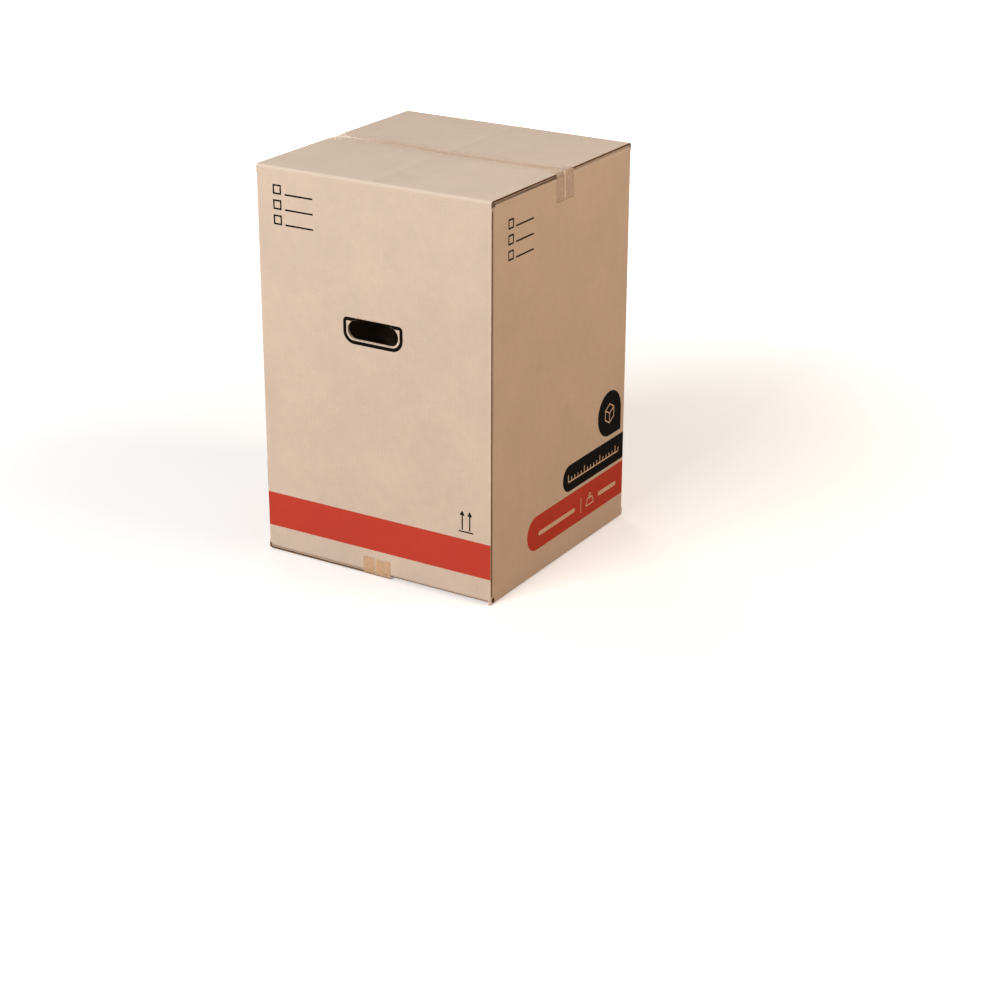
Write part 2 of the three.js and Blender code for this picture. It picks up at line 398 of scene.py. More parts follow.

# %% [markdown]
# Colour of kraft paper
#
# On top of its tones the paper has small dark specks, pale folds, worn and with a painted
# highlight, and painted shade under the lid. Each is a colour of its own, mixed in by its
# mask. They could be added to the tones, but specks and shade are warmer than the paper, not
# only darker.

# %% Colour of the paper
SPECKS = (900, 1, 0.5)
SPECK_STARTS = 0.66
SPECK_FULL = 0.74
SPECK_STRENGTH = 0.35
SPECK_TINT = (0.45, 0.36, 0.28, 1)
FOLD_WEAR_AND_HIGHLIGHT_STRENGTH = 0.3
FOLD_WEAR_AND_HIGHLIGHT_TINT = (1.16, 1.15, 1.13, 1)
SHADE_STRENGTH = 0.97
SHADE_TINT = (0.12, 0.07, 0.045, 1)


def paper_colour(tree, place, paper, tone, fold_lift_and_shade):
    specks = ramp(tree, noise(tree, place, *SPECKS), SPECK_STARTS, SPECK_FULL, 0.0, SPECK_STRENGTH)
    # Pale folds: worn paper, and a painted highlight on the rounded crease.
    pale_fold_and_highlight = math_node(tree, "MULTIPLY", fold_lift_and_shade["Fold"], FOLD_WEAR_AND_HIGHLIGHT_STRENGTH)
    # Painted shade under the lid's raw edges.
    under_lid = math_node(tree, "MULTIPLY", fold_lift_and_shade["Shade"], SHADE_STRENGTH)
    colour = times_colour(tree, paper, tone)
    for mask, tint in ((specks, SPECK_TINT), (pale_fold_and_highlight, FOLD_WEAR_AND_HIGHLIGHT_TINT), (under_lid, SHADE_TINT)):
        colour = mix_colour(tree, mask, colour, times_colour(tree, paper, tint))
    return colour


print("a speck takes", SPECK_STRENGTH, "of its own tint")

# %% [markdown]
# The kraft group
#
# Bare board, both inks and the wavy paper inside the board are all the same kind of paper.
# One group gives colour, roughness and relief, so that each of them sets only its own tint
# and contrast. The relief is in metres, like every other size here.

# %% The kraft group
FLUTE_PITCH = 7.6 * MM
LEAST_ROUGH = 0.74
PATCH_ROUGH = 0.16
LID_RELIEF = 1.7 * MM
CLOUD_RELIEF = 0.6 * MM
FIBRE_RELIEF = 0.06 * MM
RIB_RELIEF = 0.012 * MM


def kraft_group():
    tree, given, result = new_group(
        "kraft_paper",
        [
            ("Paper", "NodeSocketColor", (0.6, 0.45, 0.3, 1)),
            ("Contrast", "NodeSocketFloat", 1.0),
            ("Flute pitch", "NodeSocketFloat", FLUTE_PITCH),
        ],
        [("Color", "NodeSocketColor"), ("Roughness", "NodeSocketFloat"), ("Height", "NodeSocketFloat")],
    )
    place = add_node(tree, "ShaderNodeTexCoord").outputs["Object"]
    run = add_node(tree, "ShaderNodeGroup", node_tree=paper_run).outputs
    fold_lift_and_shade = add_node(tree, "ShaderNodeGroup", node_tree=folds).outputs
    clouds, patches, fibres, ribs = paper_patterns(tree, place, run, given["Flute pitch"])
    tone = paper_tone(tree, clouds, patches, fibres, ribs, given["Contrast"])
    tree.links.new(paper_colour(tree, place, given["Paper"], tone, fold_lift_and_shade), result["Color"])
    rough = math_node(tree, "MULTIPLY_ADD", patches, PATCH_ROUGH, LEAST_ROUGH)
    tree.links.new(rough, result["Roughness"])
    relief = math_node(tree, "MULTIPLY", fibres, FIBRE_RELIEF)
    for pattern, height in ((ribs, RIB_RELIEF), (clouds, CLOUD_RELIEF), (fold_lift_and_shade["Lift"], LID_RELIEF)):
        relief = math_node(tree, "MULTIPLY_ADD", pattern, height, relief)
    tree.links.new(relief, result["Height"])
    return tree


kraft = kraft_group()
print("group", kraft.name, "with", len(kraft.nodes), "nodes")

# %% [markdown]
# Board and ink
#
# Flexo ink soaks into the paper, so the fibres and clouds show through it and its edge is
# soft only on a very small scale. It could be a glossy layer over the board, but it has no
# film of its own, so an ink is the same paper in another tint with less shine.

# %% Board and ink materials
PAPER = srgb(214, 198, 182)
RED_INK = srgb(194, 66, 50)
BLACK_INK = srgb(17, 15, 13)
BUMP_STRENGTH = 0.6


def paper_material(name, colour, contrast, shine=0.25):
    material, tree, shader = new_material(name)
    tints = {"Paper": colour, "Contrast": contrast}
    paper = add_node(tree, "ShaderNodeGroup", tints, node_tree=kraft).outputs
    heights = {"Strength": BUMP_STRENGTH, "Distance": 1.0, "Height": paper["Height"]}
    bump = add_node(tree, "ShaderNodeBump", heights).outputs
    tree.links.new(paper["Color"], shader.inputs["Base Color"])
    tree.links.new(paper["Roughness"], shader.inputs["Roughness"])
    tree.links.new(bump["Normal"], shader.inputs["Normal"])
    shader.inputs["Specular IOR Level"].default_value = shine
    return material


board_material = paper_material("kraft_board", PAPER, 1.0)
red_material = paper_material("red_ink", RED_INK, 0.7, 0.2)
black_material = paper_material("black_ink", BLACK_INK, 1.4, 0.03)
print("materials", [m.name for m in (board_material, red_material, black_material)])

# %% [markdown]
# The board's own finish
#
# The carton's solid came from the CAD model with a plain material. Painting could be done by
# faces, but the sheet is the same paper all over, inside and out, so every slot of the solid
# gets the board's material. The mesh itself isn't touched.

# %% The board's own finish
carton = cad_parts["carton"]
for slot in carton.material_slots:
    slot.link = "OBJECT"
    slot.material = board_material
print("carton wears", [slot.material.name for slot in carton.material_slots])

# %% [markdown]
# Flat print
#
# A printed field is an outline on a panel. It could be a mask in the board's material, but
# a mesh of its own keeps its edge sharp at any distance. The outline is drawn as seen from
# outside, with x to the right and z up, and is given a hair of thickness.

# %% Places on a panel
ARC_STEPS = 24
HOLE_PANELS = ((0, "front"), (2, "back"))
FIELD_PANELS = ((1, "right"), (3, "left"))


def panel_turn(panel):
    return Matrix.Rotation(panel * math.pi / 2, 3, "Z")


def panel_place(panel, x, z, out):
    """A point on a panel: 0 faces -Y, 1 faces +X, 2 faces +Y, 3 faces -X."""
    return panel_turn(panel) @ Vector((x, -(face_y if panel % 2 == 0 else face_x) - out, z))


def on_panel(panel):
    return lambda x, z, out: panel_place(panel, x, z, out)


def arc(cx, cz, radius, start, end, steps=ARC_STEPS):
    """Points of an arc, in degrees, anticlockwise where end is larger."""
    angles = [math.radians(start + (end - start) * i / steps) for i in range(steps + 1)]
    return [(cx + radius * math.cos(a), cz + radius * math.sin(a)) for a in angles]


print("the right panel stands at", [round(v, 3) for v in panel_place(1, 0, 0, 0)])

# %% Thin films
INK_LIFT = 0.03 * MM
INK_FILM = 0.05 * MM


def finish_piece(name, mesh, material, smooth=False):
    """Turns a bmesh into a piece that rides on the carton's body."""
    bmesh.ops.recalc_face_normals(mesh, faces=mesh.faces)
    data = bpy.data.meshes.new(name)
    mesh.to_mesh(data)
    mesh.free()
    data.materials.append(material)
    if smooth:
        data.shade_smooth()
    piece = bpy.data.objects.new(name, data)
    bpy.context.scene.collection.objects.link(piece)
    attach(piece, "root")
    return piece


def closed_film(name, outlines, place, material, lift=INK_LIFT):
    """One mesh of thin closed plates. An outline may be a pair of rings, outer and inner."""
    mesh = bmesh.new()
    for outline in outlines:
        rings = outline if isinstance(outline[0], list) else [outline]
        count = len(rings[0])
        under, over = [
            [[mesh.verts.new(place(x, z, out)) for x, z in ring] for ring in rings]
            for out in (lift, lift + INK_FILM)
        ]
        if len(rings) == 1:
            mesh.faces.new(over[0])
            mesh.faces.new(list(reversed(under[0])))
        for i in range(count):
            j = (i + 1) % count
            if len(rings) == 2:
                mesh.faces.new((over[0][i], over[0][j], over[1][j], over[1][i]))
                mesh.faces.new((under[0][j], under[0][i], under[1][i], under[1][j]))
                mesh.faces.new((over[1][i], over[1][j], under[1][j], under[1][i]))
            mesh.faces.new((over[0][j], over[0][i], under[0][i], under[0][j]))
    return finish_piece(name, mesh, material)


print("ink is", round(INK_FILM / MM, 2), "mm thick")

# %% [markdown]
# A band that turns a corner
#
# The red field starts with a round end on one panel, runs to the crease, turns round it and
# crosses the next panel. It could be two flat meshes with a gap at the crease, but on the
# real sheet the ink was laid before folding, so one strip follows the fold. Each column of
# the strip is a place along the unfolded sheet.

# %% Places on the unfolded sheet
FOLD = 0.8 * MM
CORNER = FOLD + BOARD
CREASE_STEPS = 12
crease_start = face_x - CORNER
crease_length = CORNER * math.pi / 2
panel_pitch = 2 * crease_start + crease_length
crease_stops = [crease_start + crease_length * i / CREASE_STEPS for i in range(CREASE_STEPS + 1)]


def sheet_place(panel):
    """Places a point of the unfolded sheet, counted from the middle of this panel on."""
    def place(along, z, out):
        side = panel
        while along > crease_start + crease_length:
            along -= panel_pitch
            side += 1
        if along <= crease_start or side % 4 == 0:
            return panel_place(side, along, z, out)
        angle = (along - crease_start) / CORNER
        return panel_turn(side) @ Vector((
            crease_start + (CORNER + out) * math.sin(angle),
            -(crease_start + (CORNER + out) * math.cos(angle)),
            z,
        ))
    return place


print("a panel and a crease take", round(panel_pitch / MM, 1), "mm of the sheet")


# %% Strips of film
def closed_strip(name, sections, material):
    """Skins four-cornered sections and shuts both ends."""
    mesh = bmesh.new()
    rings = [[mesh.verts.new(corner) for corner in section] for section in sections]
    for before, after in zip(rings, rings[1:]):
        for i in range(4):
            j = (i + 1) % 4
            mesh.faces.new((before[i], before[j], after[j], after[i]))
    mesh.faces.new(list(reversed(rings[0])))
    mesh.faces.new(rings[-1])
    return finish_piece(name, mesh, material)


def strip_film(name, columns, place, material):
    """A thin closed strip. Each column gives its place along the sheet and its two heights."""
    over = INK_LIFT + INK_FILM
    sections = [
        [
            place(along, z, out)
            for z, out in ((low, INK_LIFT), (high, INK_LIFT), (high, over), (low, over))
        ]
        for along, low, high in columns
    ]
    return closed_strip(name, sections, material)


def round_ended_columns(start, low, high, stops):
    """Columns of a field with a half round start, more columns at the stops, and a square end."""
    radius = (high - low) / 2
    middle = (high + low) / 2
    columns = []
    for i in range(1, ARC_STEPS + 1):
        angle = math.pi / 2 * i / ARC_STEPS
        reach = radius * math.sin(angle)
        columns.append((start + radius * (1 - math.cos(angle)), middle - reach, middle + reach))
    return columns + [(stop, low, high) for stop in stops]


print("a round end takes", ARC_STEPS, "columns")

# %% [markdown]
# The printed fields
#
# Red band, black bar and black drop stand low on the panels. They could be cut from one
# sheet of ink, but each has its own colour and height. The red band of the right panel runs
# on over the whole back, and that of the left panel over the front, as far as the glued
# joint. The black bar ends in the crease.

# %% Red bands and black bars
BAND_START = -100 * MM
BAR_START = 7 * MM
JOINT_SHORT = 1.3 * MM
band_low = underside + 41.5 * MM
band_high = underside + 97.5 * MM
bar_low = underside + 103 * MM
bar_high = underside + 147 * MM
half_crease = CREASE_STEPS // 2 + 1
next_crease = [panel_pitch + stop for stop in crease_stops[:half_crease]]
joint_end = panel_pitch + face_x - JOINT_SHORT
band_stops = {"right": crease_stops + next_crease, "left": crease_stops + [joint_end]}
for panel, side in FIELD_PANELS:
    place = sheet_place(panel)
    band = round_ended_columns(BAND_START, band_low, band_high, band_stops[side])
    strip_film("red_band_" + side, band, place, red_material)
    bar = round_ended_columns(BAR_START, bar_low, bar_high, crease_stops[:half_crease + 1])
    strip_film("black_bar_" + side, bar, place, black_material)
print("red band", round((band_high - band_low) / MM, 1), "mm high")

# %% [markdown]
# Drops
#
# Above the bar stands a black drop, a round field whose lower corner on the side of the
# crease is almost square. It could be a circle joined to a square. One outline of two arcs
# draws it at once: three quarters of a large circle, and a small arc in the corner.

# %% Drops
DROP_RADIUS = 37.5 * MM
DROP_CORNER = 2.5 * MM
DROP_CORNER_STEPS = 4
drop_x = 153 * MM
drop_z = underside + 192.5 * MM
corner_x = drop_x + DROP_RADIUS - DROP_CORNER
corner_z = drop_z - DROP_RADIUS + DROP_CORNER
round_side = arc(drop_x, drop_z, DROP_RADIUS, 0, 270, 3 * ARC_STEPS)
drop_outline = round_side + arc(corner_x, corner_z, DROP_CORNER, 270, 360, DROP_CORNER_STEPS)
for panel, side in FIELD_PANELS:
    closed_film("black_drop_" + side, [drop_outline], on_panel(panel), black_material)
print("drop", round(2 * DROP_RADIUS / MM), "mm across")

# %% [markdown]
# Plain marks
#
# The dark fields carry plain marks in the colour of bare board. A mark could be text in a
# font, but these are only bars, rings and dashes, so each is an outline. A bar has a width
# and runs between two points, with square or round ends. In print the ink is left out
# there. Here the marks lie over the ink as a second hair of film.

# %% Mark helpers
OVER_INK = INK_LIFT + INK_FILM + 0.02 * MM
DASH_STEPS = 8
knocked_out = paper_material("bare_board_in_ink", srgb(222, 196, 170), 0.8)


def stroke(start, end, width):
    """Outline of a bar between two points."""
    first = Vector(start)
    last = Vector(end)
    along = (last - first).normalized()
    across = Vector((-along.y, along.x)) * width / 2
    return [tuple(p) for p in (first - across, last - across, last + across, first + across)]


def square_ring(cx, cz, size, width):
    def corners(half):
        return [(cx + x * half, cz + z * half) for x, z in ((-1, -1), (1, -1), (1, 1), (-1, 1))]
    return [corners(size / 2), corners(size / 2 - width)]


def rounded_dash(start, end, z, width):
    radius = width / 2
    right_end = arc(end - radius, z, radius, -90, 90, DASH_STEPS)
    left_end = arc(start + radius, z, radius, 90, 270, DASH_STEPS)
    return right_end + left_end


def marks(name, panels, outlines, material, lift=INK_LIFT):
    for panel, side in panels:
        closed_film(name + "_" + side, outlines, on_panel(panel), material, lift)
    print(name, "on", [side for panel, side in panels])


# %% [markdown]
# Ruler
#
# The black bar carries a ruler: a line with a tick every ten millimetres and a taller one
# every fifty. A loop sets the ticks, so that their spacing is one value.

# %% Ruler
RULER_PEN = 2.2 * MM
TICK_PEN = 2 * MM
TICK_STEP = 10 * MM
TICK_STEPS = 16
TALL_TICK = 12 * MM
SHORT_TICK = 7 * MM
ruler_z = underside + 119 * MM
ruler_start = 24 * MM
ruler = [stroke((ruler_start, ruler_z), (ruler_start + TICK_STEPS * TICK_STEP, ruler_z), RULER_PEN)]
for i in range(TICK_STEPS + 1):
    tall = TALL_TICK if i % 5 == 0 else SHORT_TICK
    at = ruler_start + i * TICK_STEP
    ruler.append(stroke((at, ruler_z + RULER_PEN / 2), (at, ruler_z + tall), TICK_PEN))
marks("ruler", FIELD_PANELS, ruler, knocked_out, OVER_INK)

# %% [markdown]
# Marks in the red band
#
# The red band carries a long dash, a separator, a small weight, which stands for the load,
# and a short dash. The weight could be a solid shape, but at this size an outline reads
# better, so its body and its eye are each a pair of rings.

# %% Weight and dashes
DASH_WIDTH = 7 * MM
SEPARATOR_PEN = 1.5 * MM
EYE_RADIUS = 4 * MM
EYE_HOLE = 2.2 * MM
EYE_SIDES = 16
separator_x = 65 * MM
separator_low = underside + 53 * MM
separator_high = underside + 79 * MM
weight_x = 93.5 * MM
weight_z = underside + 58 * MM
eye_z = weight_z + 16.6 * MM
dash_z = underside + 66 * MM
weight_body = [
    [(weight_x + x * MM, weight_z + z * MM) for x, z in ring]
    for ring in (
        [(-13, 0), (13, 0), (8.5, 13), (-8.5, 13)],
        [(-10.4, 2), (10.4, 2), (7, 11), (-7, 11)],
    )
]
eye_end = 360 - 360 / EYE_SIDES
weight_eye = [
    arc(weight_x, eye_z, radius, 0, eye_end, EYE_SIDES - 1) for radius in (EYE_RADIUS, EYE_HOLE)
]
load_marks = [
    weight_body,
    weight_eye,
    rounded_dash(-66 * MM, 46 * MM, dash_z, DASH_WIDTH),
    stroke((separator_x, separator_low), (separator_x, separator_high), SEPARATOR_PEN),
    rounded_dash(120 * MM, 178 * MM, dash_z, DASH_WIDTH),
]
marks("load_marks", FIELD_PANELS, load_marks, knocked_out, OVER_INK)

# %% [markdown]
# Cube
#
# The drop carries an outline cube. Seen from a corner, a cube is a six-sided ring with three
# bars from the middle to every second corner. So it needs no picture, only six points.

# %% Cube
CUBE_RADIUS = 17 * MM
CUBE_LINE = 2.2 * MM
CUBE_PEN = 2 * MM


def cube_corners(radius):
    angles = [math.radians(30 + 60 * i) for i in range(6)]
    return [(drop_x + radius * math.cos(a), drop_z + radius * math.sin(a)) for a in angles]


inner_corners = cube_corners(CUBE_RADIUS - CUBE_LINE)
cube_marks = [[cube_corners(CUBE_RADIUS), inner_corners]]
for corner in inner_corners[::2]:
    cube_marks.append(stroke((drop_x, drop_z), corner, CUBE_PEN))
marks("cube_mark", FIELD_PANELS, cube_marks, knocked_out, OVER_INK)

# %% [markdown]
# Arrows and tick boxes
#
# Two arrows on a line say which way up the carton stands. In the upper left corner of each
# panel three tick boxes, each with a line to write on, are for the owner. They could be drawn
# by hand, but the helpers above already make bars and rings, now in black ink on the board.

# %% Arrows
ARROW_PEN = 2.2 * MM
ARROW_HEAD = 8.6 * MM
arrow_line = underside + 109.7 * MM
arrow_foot = underside + 112.5 * MM
arrow_neck = underside + 135.5 * MM
arrow_tip = underside + 143.5 * MM
arrows = [stroke((147.5 * MM, arrow_line), (173 * MM, arrow_line), ARROW_PEN)]
for at in (153.8 * MM, 166.8 * MM):
    arrows.append(stroke((at, arrow_foot), (at, arrow_neck), ARROW_PEN))
    arrows.append([(at - ARROW_HEAD / 2, arrow_neck), (at + ARROW_HEAD / 2, arrow_neck), (at, arrow_tip)])
marks("arrows", HOLE_PANELS, arrows, black_material)

# %% Tick boxes
BOX_SIZE = 15 * MM
BOX_PEN = 2.6 * MM
BOX_STEP = 23 * MM
LINE_GAP = 6 * MM
LINE_LENGTH = 50 * MM


def tick_boxes(left, bottom):
    """Three boxes, each with a line to write on."""
    shapes = []
    for row in range(3):
        low = bottom + row * BOX_STEP
        start = left + BOX_SIZE + LINE_GAP
        shapes.append(square_ring(left + BOX_SIZE / 2, low + BOX_SIZE / 2, BOX_SIZE, BOX_PEN))
        shapes.append(stroke((start, low + BOX_PEN / 2), (start + LINE_LENGTH, low + BOX_PEN / 2), BOX_PEN))
    return shapes


marks("tick_boxes", HOLE_PANELS, tick_boxes(-173 * MM, underside + 529 * MM), black_material)
marks("tick_boxes", FIELD_PANELS, tick_boxes(-160 * MM, underside + 520 * MM), black_material)

# %% [markdown]
# The outline round a hand hole
#
# A black line runs round each hand hole. Its upper edge meets the crease on which the cut
# tab was folded in. One closed ring would hang in the air there, so the ring in the panel's
# plane is left open at the crease.

# %% Sizes of the hand hole and its outline
hole_z = underside + 389.5 * MM
hole_radius = 15 * MM
hinge_run = 29.5 * MM
hinge_z = hole_z + hole_radius + CORNER
line_top = hole_z + hole_radius + 3.4 * MM
line_bottom = hole_z - hole_radius - 7.1 * MM
line_half = 52.4 * MM
LINE = 5.5 * MM
CUT_CLEAR = 0.15 * MM
UPPER_ROUND = 7 * MM
LOWER_ROUND = 19 * MM
UPPER_STEPS = 10
LOWER_STEPS = 14
CUT_STEPS = 6
print("hand hole", round(2 * (hinge_run + hole_radius) / MM), "by", round(2 * hole_radius / MM), "mm")


# %% The flat part of the outline
def half_ring(half, top_z, low_z, above, below):
    """A rounded field from the upper right corner, by the lower edge, to the upper left one."""
    return (
        arc(half - above, top_z - above, above, 90, 0, UPPER_STEPS)
        + arc(half - below, low_z + below, below, 0, -90, LOWER_STEPS)
        + arc(-half + below, low_z + below, below, -90, -180, LOWER_STEPS)
        + arc(-half + above, top_z - above, above, 180, 90, UPPER_STEPS)
    )


def mirrored(points):
    return [(-x, z) for x, z in reversed(points)]


def hole_line_rings():
    """The outer and the inner edge of the line, both open at the crease."""
    rim = hole_radius + CUT_CLEAR
    shelf = line_top - LINE
    shelf_angle = math.degrees(math.asin((shelf - hole_z) / rim))
    shelf_x = hinge_run + rim * math.cos(math.radians(shelf_angle))
    cut = arc(hinge_run, hole_z, rim, 90, shelf_angle, CUT_STEPS)
    over_cut = [
        (hinge_run + (shelf_x - hinge_run) * i / CUT_STEPS, line_top) for i in range(CUT_STEPS + 1)
    ]
    outer = half_ring(line_half, line_top, line_bottom, UPPER_ROUND, LOWER_ROUND)
    inner = half_ring(line_half - LINE, shelf, line_bottom + LINE, UPPER_ROUND - LINE, LOWER_ROUND - LINE)
    return over_cut + outer + mirrored(over_cut), cut + inner + mirrored(cut)


def open_ring_film(name, rings, place, material):
    """A thin closed plate between two edges that run side by side."""
    mesh = bmesh.new()
    under, over = [
        [[mesh.verts.new(place(x, z, out)) for x, z in ring] for ring in rings]
        for out in (INK_LIFT, INK_LIFT + INK_FILM)
    ]
    last = len(rings[0]) - 1
    for i in range(last):
        mesh.faces.new((over[0][i], over[0][i + 1], over[1][i + 1], over[1][i]))
        mesh.faces.new((under[0][i + 1], under[0][i], under[1][i], under[1][i + 1]))
        mesh.faces.new((over[0][i + 1], over[0][i], under[0][i], under[0][i + 1]))
        mesh.faces.new((over[1][i], over[1][i + 1], under[1][i + 1], under[1][i]))
    for i in (0, last):
        mesh.faces.new((over[0][i], over[1][i], under[1][i], under[0][i]))
    return finish_piece(name, mesh, material)


for panel, side in HOLE_PANELS:
    open_ring_film("hand_hole_line_" + side, hole_line_rings(), on_panel(panel), black_material)
print("line round a hand hole", round(LINE / MM, 1), "mm wide")

# %% [markdown]
# The line on the crease
#
# Above the hole the line bends inward with the board. A bend could be put on a flat strip
# afterwards, but its points are as easily set round the crease at once, row by row.

# %% The part of the outline on the crease
FOLD_LINE_ROWS = 6
FOLD_LINE_LEAN = math.radians(80)


def crease_place(panel, x, lean, out):
    """A point on the crease over a hand hole, which leans in from the panel as it goes down."""
    radius = CORNER + out
    return panel_place(panel, x, hinge_z - radius * math.sin(lean), radius * math.cos(lean) - CORNER)


for panel, side in HOLE_PANELS:
    first_lean = math.asin((hinge_z - line_top) / CORNER)
    over = INK_LIFT + INK_FILM
    corners = ((-hinge_run, INK_LIFT), (hinge_run, INK_LIFT), (hinge_run, over), (-hinge_run, over))
    leans = [
        first_lean + (FOLD_LINE_LEAN - first_lean) * i / FOLD_LINE_ROWS for i in range(FOLD_LINE_ROWS + 1)
    ]
    sections = [[crease_place(panel, x, lean, out) for x, out in corners] for lean in leans]
    closed_strip("hand_hole_fold_line_" + side, sections, black_material)
print("the line bends in by", round(math.degrees(FOLD_LINE_LEAN - first_lean)), "degrees")

# %% [markdown]
# Clear tape
#
# Each strip is a thin clear film with a little brown in it. Pressed on board it can hardly
# be seen. It shows where it stands off: in streaks over the seam, over the gap itself, on
# the bend over the flaps' edges, and at its ends, which also carry a painted highlight in a
# line along the tallest wrinkle. Glass would do for a thick film, but in this one only the
# haze counts, so the film is a colour that covers more or less of the board.

# %% How much of the tape shows
STREAK_ALONG = 9.0
STREAK_ACROSS = 60.0
STREAKS = (1, 4, 0.6)
LOOSE_STARTS = 0.4
LOOSE_FULL = 0.64
SEAM_WIDTH = 9 * MM
GAP_WIDTH = 1.4 * MM
BEND_WIDTH = 0.9 * MM
BEND_BEFORE = 1 * MM
HIGHLIGHT_WIDTH = 0.9 * MM
END_STARTS = -20 * MM
END_FULL = 4 * MM
LEAST_HAZE = 0.02
SEAM_HAZE = 0.42
GAP_HAZE = 0.8
BEND_HAZE = 0.3
END_HAZE = 0.26
END_STREAK_HAZE = 0.12
HIGHLIGHT_HAZE = 0.3


def tape_haze():
    """Puts out how much the film covers, a painted highlight line near the ends, and where the ends are."""
    tree, given, result = new_group(
        "tape_haze",
        [
            ("Along", "NodeSocketFloat", 0.0),
            ("Across", "NodeSocketFloat", 0.0),
            ("Reach", "NodeSocketFloat", 0.2),
            ("Highlight line", "NodeSocketFloat", 0.0),
        ],
        [("Haze", "NodeSocketFloat"), ("Highlight", "NodeSocketFloat"), ("End", "NodeSocketFloat")],
    )
    stretched = add_node(
        tree, "ShaderNodeCombineXYZ",
        {
            "X": math_node(tree, "MULTIPLY", given["Along"], STREAK_ALONG),
            "Y": math_node(tree, "MULTIPLY", given["Across"], STREAK_ACROSS),
        },
    ).outputs[0]
    loose = ramp(tree, noise(tree, stretched, *STREAKS), LOOSE_STARTS, LOOSE_FULL)
    past = math_node(tree, "SUBTRACT", math_node(tree, "ABSOLUTE", given["Along"]), given["Reach"])
    at_end = ramp(tree, past, END_STARTS, END_FULL)
    over_seam = math_node(tree, "MULTIPLY", loose, bell(tree, given["Across"], SEAM_WIDTH))
    end_streaks = math_node(tree, "MULTIPLY", at_end, loose)
    bend = bell(tree, math_node(tree, "ADD", past, BEND_BEFORE), BEND_WIDTH)
    haze = math_node(tree, "MULTIPLY_ADD", over_seam, SEAM_HAZE, LEAST_HAZE)
    haze = math_node(tree, "MULTIPLY_ADD", at_end, END_HAZE, haze)
    haze = math_node(tree, "MULTIPLY_ADD", end_streaks, END_STREAK_HAZE, haze)
    haze = math_node(tree, "MULTIPLY_ADD", bend, BEND_HAZE, haze)
    gap = bell(tree, given["Across"], GAP_WIDTH)
    haze = math_node(tree, "MAXIMUM", haze, math_node(tree, "MULTIPLY", gap, GAP_HAZE))
    # Painted highlight: a pale line along the tallest wrinkle near each end.
    line = bell(tree, math_node(tree, "SUBTRACT", given["Across"], given["Highlight line"]), HIGHLIGHT_WIDTH)
    painted_highlight = math_node(tree, "MULTIPLY", line, at_end)
    tree.links.new(math_node(tree, "MULTIPLY_ADD", painted_highlight, HIGHLIGHT_HAZE, haze), result["Haze"])
    tree.links.new(painted_highlight, result["Highlight"])
    tree.links.new(at_end, result["End"])
    return tree


haze_group = tape_haze()
print("group", haze_group.name, "with", len(haze_group.nodes), "nodes")

# %% [markdown]
# Colour of the tape
#
# The film is pale brown on the lid, and nearly white in a painted highlight along its tallest
# wrinkle. Its ends are painted with the light of the face that they lie on: greyer with
# painted shade on the shaded face, warmer with painted light on the lit one. One material for
# both strips would miss that, so a function makes one for each.

# %% Tape materials
TAPE_TINT = srgb(228, 190, 152)
# Colour of the painted highlight on the tape.
HIGHLIGHT_TINT = srgb(245, 235, 222)
TAPE_ROUGH = 0.25
TAPE_SHINE = 0.5


def tape_material(name, along, across, reach, highlight_at, painted_end_tint):
    material, tree, shader = new_material(name)
    _, at, _ = place_and_side(tree)
    film = add_node(
        tree, "ShaderNodeGroup",
        {"Along": at[along], "Across": at[across], "Reach": reach, "Highlight line": highlight_at},
        node_tree=haze_group,
    ).outputs
    # Painted light and shade: the ends get the tint of the light on the face below them.
    tint = mix_colour(tree, film["End"], TAPE_TINT, painted_end_tint)
    # Painted highlight along the tallest wrinkle.
    tint = mix_colour(tree, film["Highlight"], tint, HIGHLIGHT_TINT)
    tree.links.new(film["Haze"], shader.inputs["Alpha"])
    tree.links.new(tint, shader.inputs["Base Color"])
    shader.inputs["Roughness"].default_value = TAPE_ROUGH
    shader.inputs["Specular IOR Level"].default_value = TAPE_SHINE
    return material


# The top strip's ends get a greyer painted shade, the bottom strip's ends a warmer painted light.
top_film = tape_material("clear_tape_top", "X", "Y", face_x, -1 * MM, srgb(212, 190, 168))
bottom_film = tape_material("clear_tape_bottom", "Y", "X", face_y, -3 * MM, srgb(236, 200, 156))
print("tape materials", [top_film.name, bottom_film.name])

# %% [markdown]
# The shape of a strip
#
# A strip lies flat on the flaps, is pulled over their raw edges and pressed on the faces,
# where it wrinkles along its length and ends in a cut like the edge of a saw. A curve could
# be swept, but it would be smooth all over. So the path is a list of places, drawn as seen
# from the side, and the wrinkles are a height that is worked out for each point.

# %% Path of a strip
FLAP_INSET = 1.5 * MM
TAPE_STEP = 4 * MM


def tape_path(face, flat, bend, end, mirror):
    """Places along the middle of a strip, as seen from its side, with the way out of each."""
    edge = face - FLAP_INSET
    corners = [(-face, end), (-face, bend), (-edge, flat), (edge, flat), (face, bend), (face, end)]
    points = []
    for (u0, v0), (u1, v1) in zip(corners, corners[1:]):
        count = max(2, round(math.hypot(u1 - u0, v1 - v0) / TAPE_STEP))
        for i in range(count):
            points.append((u0 + (u1 - u0) * i / count, v0 + (v1 - v0) * i / count))
    points.append(corners[-1])
    normals = []
    for i in range(len(points)):
        before = points[max(i - 1, 0)]
        after = points[min(i + 1, len(points) - 1)]
        along = Vector((after[0] - before[0], after[1] - before[1])).normalized()
        normals.append(mirror * Vector((-along.y, along.x)))
    return points, normals


print("a strip bends down", round(FLAP_INSET / MM, 1), "mm in from each face")

